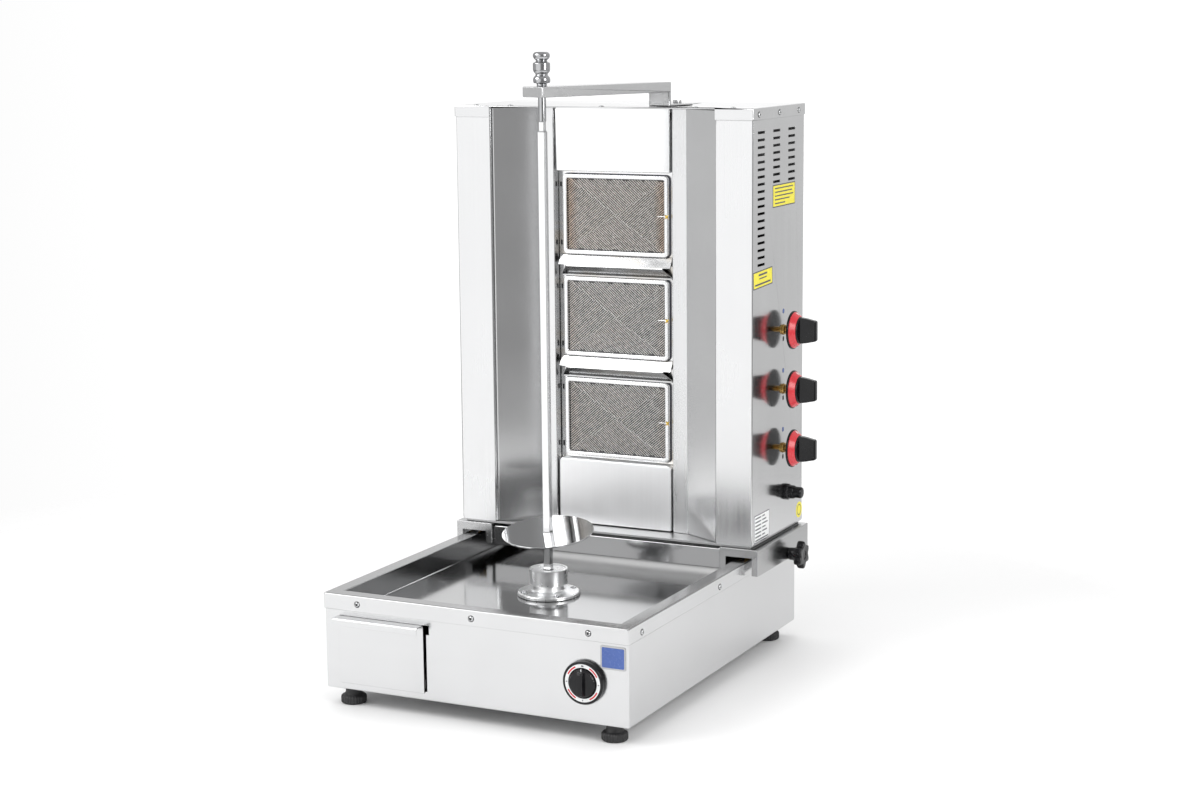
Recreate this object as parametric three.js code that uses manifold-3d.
// Vertical rotisserie broiler: a gas doner grill with three infrared burners and a bottom drive.
// Millimetres, +Z up, X across the front, -Y towards the cook, the feet on z = 0.
import * as THREE from "three";
import { mergeVertices } from "three/addons/utils/BufferGeometryUtils.js";
import Module from "manifold-3d";

const wasm = await Module();
wasm.setup();

// ---------------------------------------------------------------- driving dimensions
const GAP = 0.3; // clearance between touching pieces
const SHEET = 1.2; // stainless sheet
const VENT_HEIGHT = 3.6;

const FOOT_HEIGHT = 24;
const BASE_HALF_WIDTH = 235; // outside the pan's skirt
const BASE_HALF_DEPTH = 299;
const RIM_TOP = 160;
const SKIRT_DROP = 22;
const RIM_WIDTH = 22;
const PAN_FLOOR = 128;
const HOUSING_HALF_WIDTH = BASE_HALF_WIDTH - SHEET - GAP;
const HOUSING_HALF_DEPTH = BASE_HALF_DEPTH - SHEET - GAP;
const DECK = FOOT_HEIGHT + SHEET + GAP; // underside of the bottom plate
const DECK_TOP = DECK + SHEET;

const SPINDLE_Y = -72;
const BAR_SIDE = 10.5;
const BAR_TOP = 801;
const COUPLING_RADIUS = 27.6;
const COUPLING_BOTTOM = 144.3;
const COUPLING_TOP = 167;
const FLANGE_RADIUS = 45;
const PLATE_RADIUS = 66;
const PLATE_HEIGHT = 219.6;
const PLATE_TILT = THREE.MathUtils.degToRad(8);

const TOWER_HALF_WIDTH = 240.6;
const TOWER_FRONT = 108;
const TOWER_REAR = 308;
const TOWER_BOTTOM = 180.8;
const TOWER_TOP = 812.8; // under the lid's sheet
const LID_TOP = 814.6;
const LID_SKIRT = 17;
const STRIP_INNER = 182.5; // half distance between the front strips
const STRIP_RETURN = 6; // how deep the strips' inner edges are turned in
const LID_SHADOW_GAP = 2.2; // between the lid's sheet and the pieces of the burner well
const WING_INNER = 120;
const WELL_FRONT = 148; // plane of the inner strips and the blank covers
const WELL_HALF_WIDTH = 97;
const BURNER_PLATE_Y = 163.9;

const BURNER_HEIGHTS = [344.4, 498.4, 652.4];
const SCREEN_HALF_WIDTH = 86.5;
const SCREEN_HALF_HEIGHT = 60;
const SCREEN_FRONT = 156;
const MESH_HALF_WIDTH = 79.4;
const MESH_HALF_HEIGHT = 54.3;
const BURNER_MIXER_Y = 188;
const BURNER_MIXER_END = 150;
const COVER_LOW_TOP = 281;
const COVER_HIGH_BOTTOM = 717;
const DEFLECTOR_RIDGES = [420.9, 574.9];

const CONTROL_Y = 228; // line of the valves and the lock knob
const IGNITER_Y = 240.4;
const KNOB_HEIGHTS = [307.4, 396.2, 485];
const KNOB_BACK = 255.5;
const KNOB_TIP = 293.4;
const KNOB_RADIUS = 28.4;
const IGNITER_HEIGHT = 238;
const LOCK_HEIGHT = 146;

const BRACKET_INNER = 190;
const BRACKET_OUTER = 251;
const BRACKET_TOP = 176.9;
const BRACKET_FRONT = 105;
const BRACKET_REAR = 306.5;

const ARM_TURN = THREE.MathUtils.degToRad(20.8); // the arm runs back and to the right
const ARM_REACH = 226; // spindle to the leg's near face
const ARM_HALF_WIDTH = 21;
const ARM_NOSE = 18;
const ARM_BOTTOM = 835.3;
const ARM_TOP = 850;
const ARM_TRAVEL = 80; // how far the burner tower slides forward under it

const DRAWER_LEFT = -205;
const DRAWER_RIGHT = -80;
const DRAWER_BOTTOM = 38;
const DRAWER_TOP = 112;
const DRAWER_DEPTH = 336;
const DRAWER_LIP_FRONT = -317;

const SPEED_X = 170;
const SPEED_Z = 81;
const INLET_REAR = 326; // end of the gas nipple, the rearmost point

// The frame's origin is under the middle of the whole machine.
const SHIFT_X = -(KNOB_TIP - BRACKET_OUTER) / 2;
const SHIFT_Y = -(INLET_REAR + DRAWER_LIP_FRONT) / 2;

// ---------------------------------------------------------------- solids
function toSolid(geometry) {
  const bare = geometry.clone();
  bare.deleteAttribute("normal");
  bare.deleteAttribute("uv");
  const merged = mergeVertices(bare, 1e-4);
  const index = merged.index.array;
  const kept = [];
  for (let i = 0; i < index.length; i += 3) {
    const [a, b, c] = [index[i], index[i + 1], index[i + 2]];
    if (a !== b && b !== c && c !== a) kept.push(a, b, c);
  }
  const vertProperties = new Float32Array(merged.attributes.position.array);
  const triVerts = new Uint32Array(kept);
  return new wasm.Manifold(new wasm.Mesh({ numProp: 3, vertProperties, triVerts }));
}

function toGeometry(solid) {
  const mesh = solid.getMesh();
  const geometry = new THREE.BufferGeometry();
  geometry.setAttribute("position", new THREE.BufferAttribute(mesh.vertProperties, 3));
  geometry.setIndex(new THREE.BufferAttribute(mesh.triVerts, 1));
  return geometry;
}

// First geometry joined with the others.
function join(first, ...others) {
  return toGeometry(others.reduce((whole, next) => whole.add(toSolid(next)), toSolid(first)));
}

// First geometry with the others cut out of it.
function cut(first, ...tools) {
  return toGeometry(tools.reduce((rest, tool) => rest.subtract(toSolid(tool)), toSolid(first)));
}

function block(x0, x1, y0, y1, z0, z1) {
  const box = new THREE.BoxGeometry(x1 - x0, y1 - y0, z1 - z0);
  return box.translate((x0 + x1) / 2, (y0 + y1) / 2, (z0 + z1) / 2);
}

const AXES = {
  x: new THREE.Matrix4().makeBasis(
    new THREE.Vector3(0, 1, 0),
    new THREE.Vector3(0, 0, 1),
    new THREE.Vector3(1, 0, 0),
  ),
  y: new THREE.Matrix4().makeBasis(
    new THREE.Vector3(1, 0, 0),
    new THREE.Vector3(0, 0, 1),
    new THREE.Vector3(0, -1, 0),
  ),
  z: new THREE.Matrix4(),
};

// An outline drawn in the plane across an axis, (y, z), (x, z) or (x, y), run along that axis.
function prism(outline, axis, from, to) {
  const shape = outline instanceof THREE.Shape ? outline : new THREE.Shape(outline);
  const geometry = new THREE.ExtrudeGeometry(shape, {
    depth: to - from,
    bevelEnabled: false,
    curveSegments: 4,
  });
  geometry.applyMatrix4(AXES[axis]);
  const start = axis === "y" ? to : from;
  const along = { x: [start, 0, 0], y: [0, start, 0], z: [0, 0, start] }[axis];
  return geometry.translate(...along);
}

// A folded sheet: a polyline with a thickness on its left side, run along an axis.
function folded(points, thickness, axis, from, to) {
  const near = points.map(([u, v]) => new THREE.Vector2(u, v));
  const normals = near.slice(1).map((point, i) => {
    const run = point.clone().sub(near[i]).normalize();
    return new THREE.Vector2(-run.y, run.x);
  });
  const far = near.map((point, i) => {
    const before = normals[Math.max(i - 1, 0)];
    const after = normals[Math.min(i, normals.length - 1)];
    const mitre = before.clone().add(after);
    return point.clone().addScaledVector(mitre, thickness / (1 + before.dot(after)));
  });
  return prism([...near, ...far.reverse()], axis, from, to);
}

function rounded(halfWidth, halfHeight, radius) {
  const shape = new THREE.Shape();
  const [w, h, r] = [halfWidth, halfHeight, radius];
  shape.moveTo(-w + r, -h);
  shape.lineTo(w - r, -h).absarc(w - r, -h + r, r, -Math.PI / 2, 0);
  shape.lineTo(w, h - r).absarc(w - r, h - r, r, 0, Math.PI / 2);
  shape.lineTo(-w + r, h).absarc(-w + r, h - r, r, Math.PI / 2, Math.PI);
  shape.lineTo(-w, -h + r).absarc(-w + r, -h + r, r, Math.PI, (3 * Math.PI) / 2);
  return shape;
}

// A turned piece: profile of [radius, height] about +Z, then laid along an axis from a point.
function turned(profile, axis, [x, y, z], sides = 24) {
  const points = profile.map(([radius, height]) => new THREE.Vector2(radius, height));
  const geometry = new THREE.LatheGeometry(points, sides).rotateX(Math.PI / 2);
  if (axis === "x") geometry.rotateY(Math.PI / 2);
  if (axis === "-y") geometry.rotateX(Math.PI / 2);
  if (axis === "y") geometry.rotateX(-Math.PI / 2);
  return geometry.translate(x, y, z);
}

// A plain rod from a point along an axis.
function rod(radius, length, axis, from, sides = 16) {
  return turned([[0, 0], [radius, 0], [radius, length], [0, length]], axis, from, sides);
}

// A tray or a shell: a block with a smaller block taken out of it.
function hollow(outer, inner) {
  return cut(block(...outer), block(...inner));
}

// ---------------------------------------------------------------- materials
function metal(color, roughness) {
  return new THREE.MeshStandardMaterial({ color, roughness, metalness: 1 });
}
function plastic(color, roughness) {
  return new THREE.MeshStandardMaterial({ color, roughness, metalness: 0 });
}
const stainless = () => metal(0xc9cbcd, 0.28);
const mirror = () => metal(0xd4d6d8, 0.08);
const chrome = () => metal(0xe4e6e8, 0.05);
const brass = () => metal(0xb8893b, 0.3);
const castIron = () => metal(0x56575a, 0.6);
const ceramic = () => plastic(0xd9cdbd, 0.85);
const black = () => plastic(0x16161a, 0.4);
const red = () => plastic(0xc62a33, 0.4);

const machine = new THREE.Group();
machine.position.set(SHIFT_X, SHIFT_Y, 0);

function add(name, geometry, material, parent = machine) {
  const mesh = new THREE.Mesh(geometry, material);
  mesh.name = name;
  parent.add(mesh);
  return mesh;
}

const SIDES = [
  ["left", -1],
  ["right", 1],
];

// ---------------------------------------------------------------- base
function slotRow(count, pitch, first, makeSlot) {
  return Array.from({ length: count }, (_, i) => makeSlot(first + i * pitch));
}

function baseHousing() {
  const [w, d] = [HOUSING_HALF_WIDTH, HOUSING_HALF_DEPTH];
  const top = RIM_TOP - SHEET - GAP;
  const flange = 14;
  const shell = hollow(
    [-w, w, -d, d, FOOT_HEIGHT, top],
    [-w + SHEET, w - SHEET, -d + SHEET, d - SHEET, FOOT_HEIGHT + SHEET, top + 1],
  );
  const floorOpening = block(-w + flange, w - flange, -d + flange, d - flange, 0, DECK);
  // The drawer's opening has a finger notch at its upper right corner.
  const drawerOpening = block(DRAWER_LEFT - 3, DRAWER_RIGHT + 8.5, -d - 1, -d + 2, 36, 118);
  const notch = block(DRAWER_RIGHT, DRAWER_RIGHT + 13, -d - 1, -d + 2, 117, 130);
  const speedHole = rod(5.4, 4, "y", [SPEED_X, -d - 1, SPEED_Z]);
  const glandHole = rod(8.4, 4, "y", [-150, d - 2, 70]);
  const vents = slotRow(6, 12, 50, (z) => block(60, 190, d - 2, d + 1, z, z + VENT_HEIGHT));
  return cut(shell, floorOpening, drawerOpening, notch, speedHole, glandHole, ...vents);
}

function bottomPlate() {
  const [w, d] = [HOUSING_HALF_WIDTH - SHEET - GAP, HOUSING_HALF_DEPTH - SHEET - GAP];
  const plate = block(-w, w, -d, d, DECK, DECK_TOP);
  const vents = slotRow(6, 14, 120, (y) =>
    block(-60, 60, y, y + VENT_HEIGHT, DECK - 1, DECK_TOP + 1),
  );
  const studs = FEET.map(([, x, y]) => rod(4.6, 6, "z", [x, y, DECK - 2]));
  // Two folded runners stand on the plate and carry the grease drawer.
  const ledge = DRAWER_BOTTOM - GAP;
  const runners = [
    [DRAWER_LEFT + 12, DRAWER_LEFT - 2, -1],
    [DRAWER_RIGHT - 12, DRAWER_RIGHT + 2, 1],
  ].map(([inner, outer, side]) => {
    const foot = [inner, inner + side * SHEET].sort((a, b) => a - b);
    const shelf = [inner, outer].sort((a, b) => a - b);
    const guide = [outer - side * SHEET, outer].sort((a, b) => a - b);
    const start = -d + 6;
    return join(
      block(...foot, start, start + DRAWER_DEPTH, DECK_TOP - 0.6, ledge),
      block(...shelf, start, start + DRAWER_DEPTH, ledge - SHEET, ledge),
      block(...guide, start, start + DRAWER_DEPTH, ledge - SHEET, ledge + 14),
    );
  });
  return join(cut(plate, ...vents, ...studs), ...runners);
}

function dripPan() {
  const [w, d] = [BASE_HALF_WIDTH, BASE_HALF_DEPTH];
  const [iw, id] = [w - RIM_WIDTH, d - RIM_WIDTH];
  const skirt = hollow(
    [-w, w, -d, d, RIM_TOP - SKIRT_DROP, RIM_TOP],
    [-w + SHEET, w - SHEET, -d + SHEET, d - SHEET, 0, RIM_TOP - SHEET],
  );
  const basin = hollow(
    [-iw - SHEET, iw + SHEET, -id - SHEET, id + SHEET, PAN_FLOOR - SHEET, RIM_TOP],
    [-iw, iw, -id, id, PAN_FLOOR, RIM_TOP + 1],
  );
  const mouth = block(-iw, iw, -id, id, RIM_TOP - 2, RIM_TOP + 1);
  const shaftHole = rod(13, 6, "z", [0, SPINDLE_Y, PAN_FLOOR - 3]);
  const [drainX, drainY] = [-142, -245];
  const spout = rod(10.5, 7, "z", [drainX, drainY, PAN_FLOOR - SHEET - 6.5]);
  const drain = rod(9, 16, "z", [drainX, drainY, PAN_FLOOR - 10]);
  return cut(join(cut(skirt, mouth), basin, spout), shaftHole, drain);
}

const FEET = [
  ["foot_front_left", -203, -277],
  ["foot_front_right", 203, -277],
  ["foot_rear_left", -203, 262],
  ["foot_rear_right", 203, 262],
];

function foot(x, y) {
  const neck = 10.5;
  const disc = 18;
  const profile = [
    [0, 0], [15.5, 0], [disc, 2.5], [disc, 11], [disc - 2, 13.5], [neck, 15],
    [neck, FOOT_HEIGHT - GAP], [4, FOOT_HEIGHT - GAP], [4, DECK_TOP + 8], [0, DECK_TOP + 8],
  ];
  return turned(profile, "z", [x, y, 0], 20);
}

function motorBracket() {
  const [half, top, lug] = [62, 104, 18];
  const base = DECK_TOP + GAP;
  const hat = folded(
    [[-half - lug, base], [-half, base], [-half, top], [half, top], [half, base], [half + lug, base]],
    2,
    "y",
    SPINDLE_Y - 42,
    SPINDLE_Y + 42,
  );
  return cut(hat, rod(13, 12, "z", [0, SPINDLE_Y, top - 3]));
}

function gearMotor() {
  const top = 104 - GAP;
  const box = prism(rounded(38, 38, 8), "z", 74, top).translate(0, SPINDLE_Y, 0);
  const can = rod(29, 40, "z", [0, SPINDLE_Y, 35], 24);
  const boss = rod(12, 12, "z", [0, SPINDLE_Y, top - 2]);
  const bore = rod(7.8, 40, "z", [0, SPINDLE_Y, 82]);
  return cut(join(box, can, boss), bore);
}

function hubFlange() {
  const top = COUPLING_BOTTOM - 0.5;
  const base = PAN_FLOOR + GAP;
  const profile = [
    [7.9, base], [FLANGE_RADIUS - 1, base], [FLANGE_RADIUS, base + 1.5], [FLANGE_RADIUS, base + 4],
    [FLANGE_RADIUS - 2, base + 6], [25, base + 6.5], [21.5, base + 9], [20.5, top], [7.9, top],
    [7.9, base],
  ];
  const holes = [45, 135, 225, 315].map((turn) => {
    const angle = THREE.MathUtils.degToRad(turn);
    const [x, y] = [37.3 * Math.cos(angle), SPINDLE_Y + 37.3 * Math.sin(angle)];
    return rod(2.6, 12, "z", [x, y, base - 2], 8);
  });
  return cut(turned(profile, "z", [0, SPINDLE_Y, 0], 28), ...holes);
}

function speedControl() {
  const face = -HOUSING_HALF_DEPTH - GAP;
  const bezel = turned(
    [[0, 0], [29.5, 0], [29.5, 1.6], [28, 3], [0, 3]],
    "-y",
    [SPEED_X, face, SPEED_Z],
    28,
  );
  const neck = rod(5, 6, "y", [SPEED_X, face - 1, SPEED_Z]);
  const inside = -HOUSING_HALF_DEPTH + SHEET + GAP;
  const body = block(SPEED_X - 19, SPEED_X + 19, inside, inside + 26, SPEED_Z - 19, SPEED_Z + 19);
  return join(bezel, neck, body);
}

function speedKnob() {
  const back = -HOUSING_HALF_DEPTH - GAP - 3 - GAP;
  const disc = turned(
    [[0, 0], [19.5, 0], [18.8, 7], [17, 8], [0, 8]],
    "-y",
    [SPEED_X, back, SPEED_Z],
    24,
  );
  const tip = DRAWER_LIP_FRONT + 0.5;
  const grip = block(SPEED_X - 5, SPEED_X + 5, tip, back - 5, SPEED_Z - 17, SPEED_Z + 17);
  return join(disc, grip);
}

function cableGland() {
  const wall = HOUSING_HALF_DEPTH;
  const profile = [
    [5, -14], [8, -14], [8, GAP], [13, GAP], [13, 6], [10.5, 7.5], [10.5, 13], [8, 18], [5, 18],
    [5, -14],
  ];
  return turned(profile, "y", [-150, wall, 70], 24);
}

add("base_housing", baseHousing(), stainless());
add("bottom_plate", bottomPlate(), stainless());
add("drip_pan", dripPan(), mirror());
for (const [name, x, y] of FEET) add(name, foot(x, y), black());
add("motor_bracket", motorBracket(), stainless());
add("gear_motor", gearMotor(), castIron());
add("hub_flange", hubFlange(), chrome());
add("speed_control", speedControl(), black());
add("cable_gland", cableGland(), black());
add("speed_knob", speedKnob(), black());

// ---------------------------------------------------------------- spindle
function driveShaft() {
  return rod(7.5, 68, "z", [0, SPINDLE_Y, 83]);
}

function coupling() {
  const [r, bottom, top] = [COUPLING_RADIUS, COUPLING_BOTTOM, COUPLING_TOP];
  const profile = [[0, bottom], [r - 1, bottom], [r, bottom + 1], [r, top - 1], [r - 1, top], [0, top]];
  const body = turned(profile, "z", [0, SPINDLE_Y, 0], 32);
  const shaftBore = rod(7.8, 9, "z", [0, SPINDLE_Y, bottom - 2]);
  const side = BAR_SIDE / 2 + GAP;
  const socket = block(-side, side, SPINDLE_Y - side, SPINDLE_Y + side, 154, top + 1);
  return cut(body, shaftBore, socket);
}

function skewerBar() {
  const side = BAR_SIDE / 2;
  const bar = block(-side, side, SPINDLE_Y - side, SPINDLE_Y + side, 154 + GAP, BAR_TOP);
  const pin = rod(2, 30, "x", [-15, SPINDLE_Y, PLATE_HEIGHT - 3.7], 12);
  const centreHole = rod(3.4, 12, "z", [0, SPINDLE_Y, BAR_TOP - 10]);
  return cut(join(bar, pin), centreHole);
}

// The plate hangs loose on the cross pin, so it leans towards the cook.
function meatPlate() {
  const disc = turned(
    [[0, -1], [PLATE_RADIUS, -1], [PLATE_RADIUS, 1], [0, 1]],
    "z",
    [0, 0, 0],
    40,
  );
  const hole = block(-6.6, 6.6, -6.9, 6.9, -2, 2);
  return cut(disc, hole).rotateX(PLATE_TILT).translate(0, SPINDLE_Y, PLATE_HEIGHT);
}

add("drive_shaft", driveShaft(), stainless());
add("coupling", coupling(), stainless());
add("skewer_bar", skewerBar(), mirror());
add("meat_plate", meatPlate(), mirror());

// ---------------------------------------------------------------- grease drawer
function drawerTray() {
  const front = -HOUSING_HALF_DEPTH - 0.1;
  const outer = [
    DRAWER_LEFT, DRAWER_RIGHT, front, front + DRAWER_DEPTH, DRAWER_BOTTOM, DRAWER_TOP,
  ];
  const inner = [
    DRAWER_LEFT + SHEET, DRAWER_RIGHT - SHEET, front + SHEET, front + DRAWER_DEPTH - SHEET,
    DRAWER_BOTTOM + SHEET, DRAWER_TOP + 1,
  ];
  return hollow(outer, inner);
}

function drawerFront() {
  const face = -HOUSING_HALF_DEPTH - 0.4;
  const lip = DRAWER_LIP_FRONT;
  const [bottom, top, hem] = [34, 130, 120];
  const profile = [[face, bottom], [face, top], [lip, top], [lip, hem]];
  return folded(profile, SHEET, "x", DRAWER_LEFT - 5.5, DRAWER_RIGHT + 4.5);
}

add("drawer_tray", drawerTray(), stainless());
add("drawer_front", drawerFront(), stainless());

// ---------------------------------------------------------------- burner tower: shell
function bracket(side) {
  const [a, b] = [BRACKET_INNER, BRACKET_OUTER];
  const wall = 2.5;
  const [innerFoot, outerFoot] = [146, 138];
  const channel = prism(
    [
      [a, innerFoot], [a, BRACKET_TOP], [b, BRACKET_TOP], [b, outerFoot], [b - wall, outerFoot],
      [b - wall, BRACKET_TOP - wall], [a + wall, BRACKET_TOP - wall], [a + wall, innerFoot],
    ].map(([x, z]) => new THREE.Vector2(x, z)),
    "y",
    BRACKET_FRONT,
    BRACKET_REAR,
  );
  const frameWidth = 10;
  const frame = [BRACKET_FRONT, BRACKET_REAR - wall].map((y) =>
    prism(
      [
        [a, innerFoot], [a, BRACKET_TOP], [b, BRACKET_TOP], [b, outerFoot],
        [b - frameWidth, outerFoot], [b - frameWidth, BRACKET_TOP - 12.5],
        [a + frameWidth, BRACKET_TOP - 12.5], [a + frameWidth, innerFoot],
      ].map(([x, z]) => new THREE.Vector2(x, z)),
      "y",
      y,
      y + wall,
    ),
  );
  // At the back the inner side is cut away over the pan's rear rim.
  const rimNotch = block(a - 1, b - frameWidth - 1, BASE_HALF_DEPTH - RIM_WIDTH - 3, 400, 0, RIM_TOP + 2);
  const whole = cut(join(channel, ...frame), rimNotch);
  if (side < 0) return mirrored(whole);
  const boss = rod(8, 7, "x", [b - wall - 6, CONTROL_Y, LOCK_HEIGHT], 6);
  const hole = rod(4.3, 14, "x", [b - 12, CONTROL_Y, LOCK_HEIGHT]);
  return cut(join(whole, boss), hole);
}

// The same piece on the other side of the machine.
function mirrored(geometry) {
  const flipped = toGeometry(toSolid(geometry)).scale(-1, 1, 1);
  const index = flipped.index.array;
  for (let i = 0; i < index.length; i += 3) {
    [index[i + 1], index[i + 2]] = [index[i + 2], index[i + 1]];
  }
  return flipped;
}

function slidePad() {
  const top = BRACKET_TOP - 2.5 - GAP;
  return block(216, 232, BRACKET_FRONT + 34, BRACKET_REAR - 14, RIM_TOP + GAP, top);
}

function crossPanel() {
  const [half, y] = [BRACKET_INNER - GAP, 111];
  return folded([[y + 14, 173.2], [y, 173.2], [y, 144]], SHEET, "x", -half, half);
}

function towerFloor() {
  const [w, front, rear] = [TOWER_HALF_WIDTH - 4, TOWER_FRONT + 3, TOWER_REAR - 4];
  const [low, high] = [BRACKET_TOP + GAP, TOWER_BOTTOM - GAP];
  return hollow(
    [-w, w, front, rear, low, high],
    [-w + SHEET, w - SHEET, front + SHEET, rear - SHEET, low - 1, high - SHEET],
  );
}

const LOUVRE_COLUMNS = [
  [140, 19],
  [199, 8],
  [258, 8],
];

function sidePanel(side) {
  const w = TOWER_HALF_WIDTH;
  const profile = [
    [STRIP_INNER, TOWER_FRONT + STRIP_RETURN], [STRIP_INNER, TOWER_FRONT], [w, TOWER_FRONT],
    [w, TOWER_REAR], [w - 14, TOWER_REAR],
  ];
  const panel = folded(profile, SHEET, "z", TOWER_BOTTOM, TOWER_TOP);
  const slots = LOUVRE_COLUMNS.flatMap(([y, count]) =>
    slotRow(count, -10.5, 779, (z) => block(w - 3, w + 3, y - 13.5, y + 13.5, z - 1.9, z + 1.9)),
  );
  if (side < 0) return mirrored(cut(panel, ...slots));
  const stems = KNOB_HEIGHTS.flatMap((z) => [
    rod(8, 8, "x", [w - 4, CONTROL_Y, z], 12),
    rod(2.4, 8, "x", [w - 4, CONTROL_Y, z - 13.6], 8),
  ]);
  const igniterHole = rod(9.2, 8, "x", [w - 4, IGNITER_Y, IGNITER_HEIGHT]);
  return cut(panel, ...slots, ...stems, igniterHole);
}

// Angled reflector wing, inner strip, the wall of the burner well and its rear flange.
function wing() {
  const wall = WELL_HALF_WIDTH;
  const tuck = TOWER_FRONT + STRIP_RETURN + GAP;
  const back = BURNER_PLATE_Y - GAP - SHEET;
  const profile = [
    [STRIP_INNER + 14, tuck], [STRIP_INNER - 1.6, tuck], [WING_INNER, WELL_FRONT],
    [wall, WELL_FRONT], [wall, back], [wall + 13, back],
  ];
  return folded(profile.reverse(), SHEET, "z", TOWER_BOTTOM, TOWER_TOP - LID_SHADOW_GAP);
}

function backPanel() {
  const half = TOWER_HALF_WIDTH - 14.5;
  const [front, rear] = [TOWER_REAR - SHEET, TOWER_REAR];
  const panel = block(-half, half, front, rear, TOWER_BOTTOM, TOWER_TOP);
  const louvres = [-110, 110].flatMap((x) =>
    slotRow(9, -14, 770, (z) => block(x - 40, x + 40, front - 1, rear + 1, z, z + VENT_HEIGHT)),
  );
  const nippleHole = rod(14, 6, "y", [MANIFOLD_X, front - 2, MANIFOLD_BOTTOM]);
  return cut(panel, ...louvres, nippleHole);
}

const ARM_BOLT_REACH = ARM_REACH + 38;
const ARM_BOLT_X = ARM_BOLT_REACH * Math.sin(ARM_TURN);
const ARM_BOLT_Y = SPINDLE_Y + ARM_BOLT_REACH * Math.cos(ARM_TURN);

function lid() {
  const w = TOWER_HALF_WIDTH + GAP + SHEET;
  const [front, rear] = [TOWER_FRONT - GAP - SHEET, TOWER_REAR + GAP + SHEET];
  const low = LID_TOP - LID_SKIRT;
  const tray = hollow(
    [-w, w, front, rear, low, LID_TOP],
    [-w + SHEET, w - SHEET, front + SHEET, rear - SHEET, low - 1, LID_TOP - SHEET],
  );
  // Over the burner well the front edge is left without its skirt.
  const window = block(-STRIP_INNER, STRIP_INNER, front - 1, front + 3, low - 1, LID_TOP - SHEET);
  const [x, y, half] = [ARM_BOLT_X, ARM_BOLT_Y, 4.2];
  const slot = join(
    block(x - half, x + half, y, y + ARM_TRAVEL, LID_TOP - 4, LID_TOP + 2),
    rod(half, 6, "z", [x, y, LID_TOP - 4]),
    rod(half, 6, "z", [x, y + ARM_TRAVEL, LID_TOP - 4]),
  );
  return cut(tray, window, slot);
}

function blankCover(low, high, chamfer) {
  const half = WELL_HALF_WIDTH - 3.5;
  const [front, back] = [WELL_FRONT, BURNER_PLATE_Y - GAP];
  const outline = [
    [-half, low], [half, low], [half, high - chamfer], [half - chamfer, high],
    [-half + chamfer, high], [-half, high - chamfer],
  ].map(([x, z]) => new THREE.Vector2(x, z));
  const inner = block(
    -half + SHEET, half - SHEET, front + SHEET, back + 1, low + SHEET, high - SHEET - chamfer,
  );
  return cut(prism(outline, "y", front, back), inner);
}

function burnerPlate() {
  const half = WELL_HALF_WIDTH + 12;
  const [front, back] = [BURNER_PLATE_Y, BURNER_PLATE_Y + SHEET];
  const plate = block(-half, half, front, back, TOWER_BOTTOM + 20, TOWER_TOP - 20);
  const windows = BURNER_HEIGHTS.map((z) => block(-80, 80, front - 1, back + 1, z - 54.5, z + 54.5));
  const slots = BURNER_HEIGHTS.flatMap((z) =>
    [-1, 1].flatMap((side) =>
      [-43.8, 43.8].map((rise) =>
        block(side * 93 - 1.6, side * 93 + 1.6, front - 1, back + 1, z + rise - 4, z + rise + 4),
      ),
    ),
  );
  return cut(plate, ...windows, ...slots);
}

// Folded drip strip below a burner: the ridge stands forward and its ends are cut back.
function deflector(ridge) {
  const back = BURNER_PLATE_Y - GAP - SHEET;
  const nose = WELL_FRONT + 0.5;
  const profile = [
    [back, ridge + 17], [back - 3, ridge + 17], [nose, ridge], [back - 1.5, ridge - 13.5],
    [back - 1.5, ridge - 16],
  ];
  const sheet = folded(profile, SHEET, "x", -92, 92);
  const [reach, trim] = [60, 14];
  const corners = [-1, 1].map((side) => {
    const outline = [
      [side * 78, nose - 1], [side * (78 + reach), nose - 1],
      [side * (78 + reach), nose + trim], [side * (78 + trim), nose + trim],
    ].map(([x, y]) => new THREE.Vector2(x, y));
    return prism(outline, "z", ridge - 30, ridge + 2);
  });
  return cut(sheet, ...corners);
}

const MANIFOLD_X = 205;
const MANIFOLD_BOTTOM = 262;

for (const [label, side] of SIDES) {
  add(`bracket_${label}`, bracket(side), stainless());
  const pad = slidePad();
  add(`slide_pad_${label}`, side < 0 ? mirrored(pad) : pad, brass());
  add(`side_panel_${label}`, sidePanel(side), stainless());
  add(`wing_${label}`, side < 0 ? mirrored(wing()) : wing(), mirror());
}
add("cross_panel", crossPanel(), mirror());
add("tower_floor", towerFloor(), stainless());
add("back_panel", backPanel(), stainless());
add("lid", lid(), stainless());
add("cover_top", blankCover(COVER_HIGH_BOTTOM, TOWER_TOP - LID_SHADOW_GAP, 0.01), mirror());
add("cover_bottom", blankCover(TOWER_BOTTOM + GAP, COVER_LOW_TOP, 4), mirror());
add("burner_plate", burnerPlate(), mirror());
add("deflector_lower", deflector(DEFLECTOR_RIDGES[0]), mirror());
add("deflector_upper", deflector(DEFLECTOR_RIDGES[1]), mirror());

// ---------------------------------------------------------------- burners
function burnerBody(z) {
  const [w, h, front, back] = [78.8, 53.6, BURNER_PLATE_Y - 3.5, 205];
  const tray = hollow(
    [-w, w, front, back, z - h, z + h],
    [-w + 1.6, w - 1.6, front - 1, back - 1.6, z - h + 1.6, z + h - 1.6],
  );
  const mixer = rod(12, BURNER_MIXER_END - w + 1, "x", [w - 1, BURNER_MIXER_Y, z]);
  const throat = rod(9.5, BURNER_MIXER_END - w + 10, "x", [w - 8, BURNER_MIXER_Y, z]);
  return cut(join(tray, mixer), throat);
}

function burnerTile(z) {
  return block(-76.9, 76.9, BURNER_PLATE_Y - 3.2, BURNER_PLATE_Y + 9, z - 51.7, z + 51.7);
}

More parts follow.
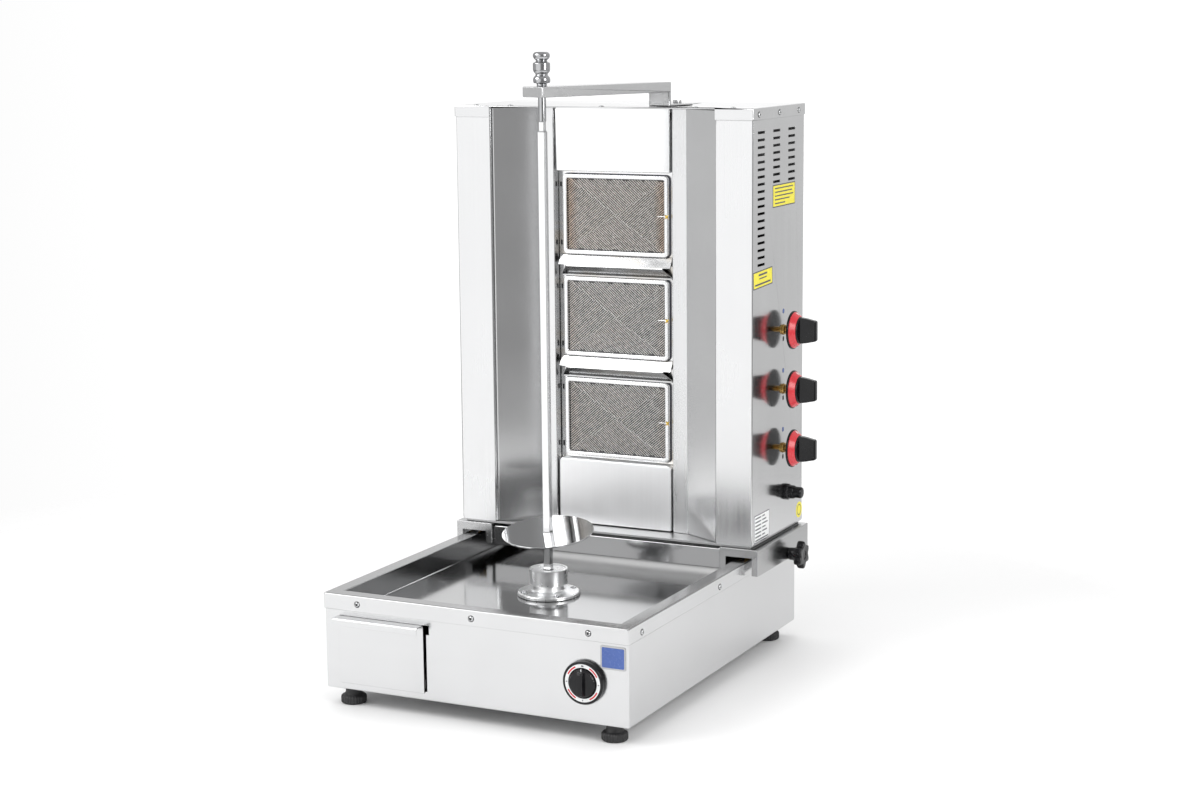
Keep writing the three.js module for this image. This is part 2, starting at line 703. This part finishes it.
function burnerScreen(z) {
  const back = BURNER_PLATE_Y - GAP;
  const outline = rounded(SCREEN_HALF_WIDTH, SCREEN_HALF_HEIGHT, 6);
  const frame = prism(outline, "y", SCREEN_FRONT, back).translate(0, 0, z);
  const [w, h] = [MESH_HALF_WIDTH, MESH_HALF_HEIGHT];
  const opening = block(-w, w, SCREEN_FRONT - 1, back + 1, z - h, z + h);
  const mesh = block(-w - 1, w + 1, SCREEN_FRONT + 1.8, SCREEN_FRONT + 2.8, z - h - 1, z + h + 1);
  return join(cut(frame, opening), mesh);
}

BURNER_HEIGHTS.forEach((z, i) => {
  add(`burner_${i + 1}_body`, burnerBody(z), castIron());
  add(`burner_${i + 1}_tile`, burnerTile(z), ceramic());
  add(`burner_${i + 1}_screen`, burnerScreen(z), stainless());
});

// ---------------------------------------------------------------- gas train and controls
function manifold() {
  const [r, x, y] = [8, MANIFOLD_X, CONTROL_Y];
  const riser = rod(r, 512 - MANIFOLD_BOTTOM, "z", [x, y, MANIFOLD_BOTTOM]);
  const profile = [
    [0, -r], [r, -r], [r, 62], [13, 62], [13, 74], [10.5, 74], [10.5, INLET_REAR - y],
    [6.5, INLET_REAR - y], [6.5, 84], [0, 84],
  ];
  return join(riser, turned(profile, "y", [x, y, MANIFOLD_BOTTOM], 16));
}

// Valve body with the bent tube that feeds its burner's mixer.
function gasValve(z, burnerHeight) {
  const start = MANIFOLD_X + 8 + GAP;
  const body = turned(
    [[0, 0], [9.5, 0], [9.5, 7], [12, 7], [12, 17], [7.6, 17], [7.6, 24.5], [0, 24.5]],
    "x",
    [start, CONTROL_Y, z],
    12,
  );
  const bore = rod(4.4, 20, "x", [start + 12, CONTROL_Y, z]);
  const outlet = start + 11;
  const inlet = BURNER_MIXER_END - 4;
  const point = (x, y, height) => new THREE.Vector3(x, y, height);
  const route = new THREE.CurvePath();
  const [leave, arrive] = [point(outlet, 210, z), point(inlet + 8, BURNER_MIXER_Y, burnerHeight)];
  route.add(new THREE.LineCurve3(point(outlet, CONTROL_Y - 4, z), leave));
  route.add(
    new THREE.CubicBezierCurve3(
      leave,
      point(outlet, BURNER_MIXER_Y, z),
      point(outlet, BURNER_MIXER_Y, burnerHeight),
      arrive,
    ),
  );
  route.add(new THREE.LineCurve3(arrive, point(inlet, BURNER_MIXER_Y, burnerHeight)));
  const section = new THREE.Shape().absarc(0, 0, 3, 0, 2 * Math.PI);
  const pipe = new THREE.ExtrudeGeometry(section, { extrudePath: route, steps: 12, curveSegments: 4 });
  return join(cut(body, bore), pipe);
}

function valveStem(z) {
  return rod(4, KNOB_BACK + 6.5 - 229, "x", [229, CONTROL_Y, z]);
}

function gasKnob(z) {
  const skirt = turned(
    [
      [0, 0], [KNOB_RADIUS, 0], [KNOB_RADIUS, 3], [23, 8], [20.2, 8], [19.4, 12], [0, 12],
    ],
    "x",
    [KNOB_BACK, CONTROL_Y, z],
    24,
  );
  const length = KNOB_TIP - KNOB_BACK;
  const outline = [[10, -18.5], [length, -12.5], [length, 13.5], [10, 19]];
  const points = outline.map(([x, rise]) => new THREE.Vector2(KNOB_BACK + x, z + rise));
  const grip = prism(points, "y", CONTROL_Y - 7, CONTROL_Y + 7);
  const bore = rod(4.3, 7.2, "x", [KNOB_BACK - 0.5, CONTROL_Y, z]);
  return cut(join(skirt, grip), bore);
}

function igniterBody() {
  const profile = [
    [0, -34], [8.5, -34], [8.5, 1.5], [12, 1.5], [12, 15], [8.9, 15], [8.9, 2], [0, 2],
  ];
  return turned(profile, "x", [TOWER_HALF_WIDTH - 0.6, IGNITER_Y, IGNITER_HEIGHT], 24);
}

function igniterButton() {
  const profile = [[0, 0], [8.5, 0], [8.5, 15.5], [7.5, 17], [0, 17]];
  return turned(profile, "x", [250.5, IGNITER_Y, IGNITER_HEIGHT], 24);
}

function lockKnob() {
  const stud = rod(4, 20, "x", [BASE_HALF_WIDTH + 0.4, CONTROL_Y, LOCK_HEIGHT]);
  const [back, face] = [264.5, 276.5];
  const collarStart = BRACKET_OUTER + GAP;
  const collar = rod(9.8, back + 1 - collarStart, "x", [collarStart, CONTROL_Y, LOCK_HEIGHT]);
  const star = new THREE.Shape();
  const [lobes, steps, mean, wave] = [6, 48, 17.6, 3.4];
  for (let i = 0; i < steps; i++) {
    const angle = (i * 2 * Math.PI) / steps;
    const radius = mean + wave * Math.cos(lobes * angle);
    const [y, z] = [CONTROL_Y + radius * Math.sin(angle), LOCK_HEIGHT + radius * Math.cos(angle)];
    if (i) star.lineTo(y, z);
    else star.moveTo(y, z);
  }
  return join(stud, collar, prism(star, "x", back, face));
}

add("gas_manifold", manifold(), stainless());
KNOB_HEIGHTS.forEach((z, i) => {
  add(`gas_valve_${i + 1}`, gasValve(z, BURNER_HEIGHTS[i]), brass());
  add(`valve_stem_${i + 1}`, valveStem(z), brass());
  add(`gas_knob_${i + 1}`, gasKnob(z), red());
});
add("igniter_body", igniterBody(), black());
add("igniter_button", igniterButton(), black());
add("lock_knob", lockKnob(), black());

// ---------------------------------------------------------------- top arm
// Its own frame: +Y runs from the spindle to the leg.
const arm = new THREE.Group();
arm.position.set(0, SPINDLE_Y, 0);
arm.rotation.z = -ARM_TURN;
machine.add(arm);

function topArm() {
  const [w, reach] = [ARM_HALF_WIDTH, ARM_REACH];
  const wall = 2.5;
  const legBack = reach + 5.7;
  const beam = block(-w, w, -ARM_NOSE, legBack, ARM_BOTTOM, ARM_TOP);
  const inside = block(-w + wall, w - wall, -ARM_NOSE + wall, reach - 2, 0, ARM_TOP - wall);
  const leg = block(-w, w, reach, legBack, LID_TOP + GAP, ARM_BOTTOM + 1);
  const foot = block(-w, w, reach, reach + 50, LID_TOP + GAP, LID_TOP + 3.3);
  const bush = rod(10, ARM_TOP - ARM_BOTTOM + 0.6, "z", [0, 0, ARM_BOTTOM - 0.6]);
  const bore = rod(6.2, 30, "z", [0, 0, ARM_BOTTOM - 8]);
  const bolt = turned(
    [
      [0, LID_TOP - 11], [9, LID_TOP - 11], [9, LID_TOP - 2.2], [3.4, LID_TOP - 2.2],
      [3.4, LID_TOP + 1], [6.5, LID_TOP + 1], [6.5, LID_TOP + 8], [0, LID_TOP + 8],
    ],
    "z",
    [0, ARM_BOLT_REACH, 0],
    12,
  );
  return cut(join(cut(beam, inside), leg, foot, bush, bolt), bore);
}

// Locking pin with its turned handle: it drops into the skewer's end.
function liftPin() {
  const seat = BAR_TOP + GAP;
  const profile = [
    [0, seat - 8], [2.6, seat - 8], [3.1, seat - 7], [3.1, seat], [5.8, seat], [5.8, ARM_TOP + 0.4],
    [7.2, ARM_TOP + 0.4], [7.2, 853.5], [11.2, 854.2], [12.4, 857], [12.4, 860], [8.2, 866.2],
    [12.4, 872.3], [12.4, 882.2], [9, 883.2], [7.4, 885], [11.4, 889], [12.4, 892.5], [11.6, 896],
    [9, 897.6], [0, 897.6],
  ];
  return turned(profile, "z", [0, 0, 0], 16);
}

add("top_arm", topArm(), stainless(), arm);
add("lift_pin", liftPin(), chrome(), arm);

export default machine;
